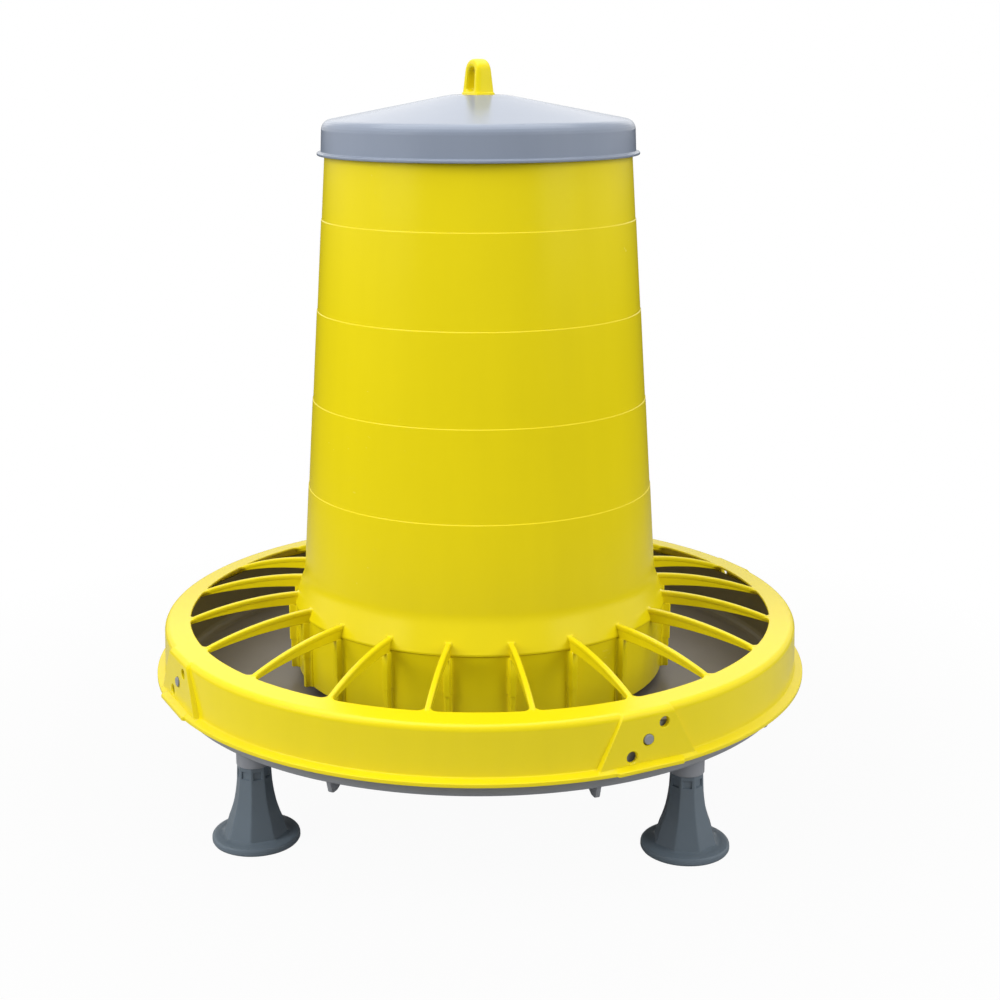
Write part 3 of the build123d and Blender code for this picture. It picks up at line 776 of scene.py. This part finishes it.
for place, around in FOOT_ANGLES.items():
    standing = spun(foot_grid(), FOOT_TURNS[place]) + np.array([FOOT_CIRCLE, 0, 0])
    make_piece(
        f"foot_horn_{place}", [skin(spun(standing, around), loop=False)], foot_plastic,
        [f"foot_{place}"], crease=26,
    )


# Hanging eye
# A tapered yellow loop on a bar that lies across the hopper's mouth in two slots. It stands up through the
# lid, so the feeder can hang from a hook, and it is one moulding with its bar.

EYE_TOP_Z = 510.0
EYE_MIDDLE_Z = 497.0
EYE_SLOT = [(-5.4, 488.8, 2), (-4.8, 503.8, 4.3), (4.8, 503.8, 4.3), (5.4, 488.8, 2)]
EYE_OUTLINE = [(-11.4, 484.5, 1), (-8.8, EYE_TOP_Z, 8.6), (8.8, EYE_TOP_Z, 8.6), (11.4, 484.5, 1)]
EYE_DEPTH_FOOT = 7.0
EYE_DEPTH_TOP = 5.0
BOSS_HALF_X = 7.6
BOSS_HALF_Y = 12.4
BOSS_TOP_Z = 487.6
BAR_HALF_X = 4.9
BAR_REACH = 105.3
BAR_SHOULDER = 102.4
BAR_BEND = 42.0
BAR_TAB_LOW = 447.0
BAR_TAB_TOP = 452.6
BAR_RISE = 2.4
BAR_DROP = 7.0
BAR_LUG = 1.5


def even_ring(corners, count):
    """A closed rounded path seen from the eye's middle: its radius at evenly spaced angles."""
    path = rounded_path(corners, steps=24)
    path = np.vstack([path, path[:1]])
    length = np.concatenate([[0], np.cumsum(np.linalg.norm(np.diff(path, axis=0), axis=1))])
    dense = np.linspace(0, length[-1], 4000, endpoint=False)
    y = np.interp(dense, length, path[:, 0])
    z = np.interp(dense, length, path[:, 1]) - EYE_MIDDLE_Z
    angles = np.linspace(-np.pi, np.pi, count, endpoint=False)
    return angles, np.interp(angles, np.arctan2(z, y), np.hypot(y, z), period=2 * np.pi)


def superellipse(count, power):
    """Points of a rounded square: (sgn(cos a) |cos a|^(2/p), sgn(sin a) |sin a|^(2/p))."""
    a = np.linspace(0, 2 * np.pi, count, endpoint=False)
    c, s = np.cos(a), np.sin(a)
    return np.sign(c) * np.abs(c) ** (2 / power), np.sign(s) * np.abs(s) ** (2 / power)


def eye_grid():
    """A rounded-square section carried round the slot, from the slot's edge to the eye's outline."""
    angles, slot_edge = even_ring(EYE_SLOT, 96)
    angles, outline = even_ring(EYE_OUTLINE, 96)
    share, side = superellipse(28, power=3.4)
    reach = slot_edge[:, None] + (outline - slot_edge)[:, None] * (0.5 + 0.5 * share)
    z = EYE_MIDDLE_Z + reach * np.sin(angles)[:, None]
    narrowing = EYE_DEPTH_FOOT - EYE_DEPTH_TOP
    half_depth = EYE_DEPTH_FOOT - narrowing * (z - BOSS_TOP_Z) / (EYE_TOP_Z - BOSS_TOP_Z)
    return np.stack([side * half_depth, reach * np.cos(angles)[:, None], z], axis=-1)


def boss_grid():
    """The eye's foot: a rounded-square block with a soft top edge."""
    x, y = superellipse(48, power=7)
    z = np.array([449, BOSS_TOP_Z - 0.8, BOSS_TOP_Z - 0.35, BOSS_TOP_Z - 0.08, BOSS_TOP_Z])
    drawn = np.array([0, 0, 0.12, 0.4, 0.8])[:, None]
    return capped(np.stack([
        x * (BOSS_HALF_X - drawn), y * (BOSS_HALF_Y - drawn), np.broadcast_to(z[:, None], (5, 48))
    ], axis=-1))


def bar_grid():
    """The bar along Y: a rounded-square section, deep in the middle and shallow where it lies in slots."""
    y = np.linspace(-BAR_REACH, BAR_REACH, 61)
    deep = smooth_ramp((BAR_SHOULDER - np.abs(y)) / BAR_BEND)
    high = BAR_TAB_TOP + BAR_RISE * deep
    low = BAR_TAB_LOW - BAR_DROP * deep - BAR_LUG * (np.abs(y) < BAR_SHOULDER) * (1 - deep)
    x, side = superellipse(28, power=6)
    z = (high + low)[:, None] / 2 + (high - low)[:, None] / 2 * side
    across = np.broadcast_to(x * BAR_HALF_X, z.shape)
    return capped(np.stack([across, np.broadcast_to(y[:, None], z.shape), z], axis=-1))


make_piece(
    "hanging_eye", [skin(eye_grid()), skin(boss_grid(), loop=False), skin(bar_grid(), loop=False)],
    yellow_plastic, ["hanger"],
)


# Lid
# A pale blue-grey cap that drops over the hopper's mouth, moulded as a shallow cone with a round shoulder, a
# straight side and a small lip. The eye's foot comes up through a rounded hole in its middle.

LID_TOP_Z = 486.0
LID_FLAT_RADIUS = 20.0
LID_CORNER_RADIUS = 107.8
LID_CORNER_Z = 468.8
LID_LIP_RADIUS = 111.4
LID_LIP_Z = 445.8
LID_WALL = 1.8
LID_LEDGE_RADIUS = 103.0
LID_HOLE_GAP = 0.5
LID_HOLE_POWER = 9
LID_HOLE_ROW = 12.0
LID_ROUND_ROW = 30.0
LID_GREY = (0.262, 0.302, 0.38)

lid_plastic = moulded_plastic("lid_moulding", LID_GREY, 0.2)


def lid_grid():
    """The lid's section carried round. Near the middle its rows turn from circles into the rounded square of
    the hole, whose radius is (|cos a / half x|^p + |sin a / half y|^p)^(-1/p): a row's radius is hole +
    (r - first row) (last row - hole) / (last row - first row)."""
    slope = (LID_TOP_Z - LID_CORNER_Z) / (LID_CORNER_RADIUS - LID_FLAT_RADIUS)
    under = LID_TOP_Z - slope * (LID_LEDGE_RADIUS - 1 - LID_FLAT_RADIUS) - LID_WALL
    section = rounded_path([
        (LID_HOLE_ROW, LID_TOP_Z, 0.5),
        (LID_FLAT_RADIUS, LID_TOP_Z, 40),
        (LID_CORNER_RADIUS, LID_CORNER_Z, 7),
        (LID_CORNER_RADIUS + 0.9, LID_LIP_Z + 2.3, 0.5),
        (LID_LIP_RADIUS, LID_LIP_Z + 2.0, 0.7),
        (LID_LIP_RADIUS, LID_LIP_Z, 0.7),
        (LID_CORNER_RADIUS - 0.9, LID_LIP_Z, 0.5),
        (LID_CORNER_RADIUS - 1.6, BARREL_TOP_Z, 0.3),
        (LID_LEDGE_RADIUS, BARREL_TOP_Z, 0.5),
        (LID_LEDGE_RADIUS - 1, under, 0.5),
        (LID_FLAT_RADIUS, LID_TOP_Z - LID_WALL, 38),
        (LID_HOLE_ROW, LID_TOP_Z - LID_WALL, 0.5),
    ])
    angle = np.radians(np.arange(0, 360, 1.0))
    half_x = BOSS_HALF_X + LID_HOLE_GAP
    half_y = BOSS_HALF_Y + LID_HOLE_GAP
    along_x = np.abs(np.cos(angle) / half_x) ** LID_HOLE_POWER
    along_y = np.abs(np.sin(angle) / half_y) ** LID_HOLE_POWER
    hole = (along_x + along_y) ** (-1 / LID_HOLE_POWER)
    radius = section[:, :1]
    morphed = hole + (radius - LID_HOLE_ROW) * (LID_ROUND_ROW - hole) / (LID_ROUND_ROW - LID_HOLE_ROW)
    r = np.where(radius < LID_ROUND_ROW, morphed, radius)
    z = np.broadcast_to(section[:, 1:], r.shape)
    return np.stack([r * np.cos(angle), r * np.sin(angle), z], axis=-1)


make_piece("lid_cap", [skin(lid_grid())], lid_plastic, ["lid", "lid_side"])


# Studio
# A white floor that runs out to a white surround, soft lamps, and a camera where the photograph was taken.

CAMERA_DISTANCE = 1.16566
CAMERA_HEIGHT = 0.50957
CAMERA_SIDE = np.radians(27.0)
CAMERA_PITCH = 0.231
CAMERA_ROLL = -0.003
CAMERA_FOCAL = 1661.6
PRINCIPAL_X = 479.28
PRINCIPAL_Y = 450.0
PICTURE = 1000.0
AMBIENT = 0.42
SENSOR = 36.0
FLOOR_HALF = 40.0

floor_mesh = bpy.data.meshes.new("studio_floor")
floor_mesh.from_pydata(
    [(x * FLOOR_HALF, y * FLOOR_HALF, 0.0) for x, y in ((-1, -1), (1, -1), (1, 1), (-1, 1))],
    [], [(0, 1, 2, 3)],
)
floor = bpy.data.objects.new("studio_floor", floor_mesh)
bpy.context.scene.collection.objects.link(floor)

floor_paint = bpy.data.materials.new("studio_white")
floor_paint.use_nodes = True
tree = floor_paint.node_tree
tree.nodes.clear()
spot = add_node(tree, "ShaderNodeTexCoord").outputs["Object"]
distance = add_node(tree, "ShaderNodeVectorMath", [(0, spot)], operation="LENGTH").outputs["Value"]
shadow_share = add_node(
    tree, "ShaderNodeMapRange",
    [("Value", distance), ("From Min", 0.3), ("From Max", 0.6), ("To Min", 0.045), ("To Max", 0.0)],
)
table_white = add_node(
    tree, "ShaderNodeMapRange",
    [("Value", distance), ("From Min", 0.5), ("From Max", 1.1), ("To Min", 0.38), ("To Max", 0.05)],
)
rays = add_node(tree, "ShaderNodeLightPath")
seen_share = add_node(
    tree, "ShaderNodeMath", [(0, 1.0), (1, shadow_share.outputs["Result"])], operation="SUBTRACT"
)
camera_share = add_node(
    tree, "ShaderNodeMath", [(0, seen_share.outputs[0]), (1, rays.outputs["Is Camera Ray"])],
    operation="MULTIPLY",
)
matt = add_node(tree, "ShaderNodeBsdfDiffuse", [("Color", table_white.outputs["Result"])])
lit = add_node(tree, "ShaderNodeEmission", [("Color", (1, 1, 1, 1)), ("Strength", 1.0)])
mix = add_node(
    tree, "ShaderNodeMixShader", [(0, camera_share.outputs[0]), (1, matt.outputs[0]), (2, lit.outputs[0])]
)
add_node(tree, "ShaderNodeOutputMaterial", [("Surface", mix.outputs[0])])
floor_mesh.materials.append(floor_paint)

world = bpy.data.worlds.new("studio_surround")
bpy.context.scene.world = world
world.use_nodes = True
tree = world.node_tree
tree.nodes.clear()
rays = add_node(tree, "ShaderNodeLightPath")
direction = add_node(tree, "ShaderNodeTexCoord").outputs["Generated"]
towards_room = add_node(
    tree, "ShaderNodeVectorMath", [(0, direction), (1, (-np.sin(CAMERA_SIDE), -np.cos(CAMERA_SIDE), 0.0))],
    operation="DOT_PRODUCT",
)
mirrored = add_node(
    tree, "ShaderNodeMapRange",
    [("Value", towards_room.outputs["Value"]), ("From Min", 0.0), ("From Max", 0.75), ("To Min", 0.72),
     ("To Max", 0.08)],
)
for_gloss = add_node(
    tree, "ShaderNodeMix",
    [("Factor", rays.outputs["Is Glossy Ray"]), ("A", AMBIENT), ("B", mirrored.outputs["Result"])],
)
level = add_node(
    tree, "ShaderNodeMix",
    [("Factor", rays.outputs["Is Camera Ray"]), ("A", for_gloss.outputs["Result"]), ("B", 1.0)],
)
surround = add_node(
    tree, "ShaderNodeBackground", [("Color", (1, 1, 1, 1)), ("Strength", level.outputs["Result"])]
)
add_node(tree, "ShaderNodeOutputWorld", [("Surface", surround.outputs[0])])


def add_softbox(name, place, target, width, height, power, shows_in_gloss=True):
    """A rectangular lamp at a place, facing a target, in metres and watts."""
    lamp = bpy.data.lights.new(name, "AREA")
    lamp.shape = "RECTANGLE"
    lamp.size = width
    lamp.size_y = height
    lamp.energy = power
    box = bpy.data.objects.new(name, lamp)
    box.visible_camera = False
    box.visible_glossy = shows_in_gloss
    box.location = place
    box.rotation_euler = (Vector(target) - Vector(place)).to_track_quat("-Z", "Y").to_euler()
    bpy.context.scene.collection.objects.link(box)


def studio_place(side, back, height):
    """A place given as seen from the camera: to its right, away from it, and up, from the feeder's axis."""
    c, s = np.cos(CAMERA_SIDE), np.sin(CAMERA_SIDE)
    return (side * c + back * s, back * c - side * s, height)


middle = (0, 0, 0.25)
add_softbox("top_softbox", studio_place(-0.1, 0.1, 1.6), middle, 1.8, 1.6, 12.0)
add_softbox("key_softbox", studio_place(-1.25, -0.75, 1.05), middle, 0.9, 1.2, 19.2, shows_in_gloss=False)
add_softbox("fill_softbox", studio_place(1.2, -0.75, 1.0), middle, 0.8, 1.2, 13.4, shows_in_gloss=False)
add_softbox("back_softbox", studio_place(0.0, 1.7, 1.1), middle, 2.2, 0.9, 3.5)

lens = bpy.data.cameras.new("photo_camera")
lens.sensor_width = SENSOR
lens.lens = CAMERA_FOCAL / PICTURE * SENSOR
lens.shift_x = (PICTURE / 2 - PRINCIPAL_X) / PICTURE
lens.shift_y = (PRINCIPAL_Y - PICTURE / 2) / PICTURE
camera = bpy.data.objects.new("photo_camera", lens)
facing = Euler((np.pi / 2 - CAMERA_PITCH, 0, -CAMERA_SIDE)).to_matrix().to_4x4()
stand = Matrix.Translation(studio_place(0, -CAMERA_DISTANCE, CAMERA_HEIGHT))
camera.matrix_world = stand @ facing @ Matrix.Rotation(CAMERA_ROLL, 4, "Z")
bpy.context.scene.collection.objects.link(camera)
bpy.context.scene.camera = camera

bpy.context.view_layer.update()
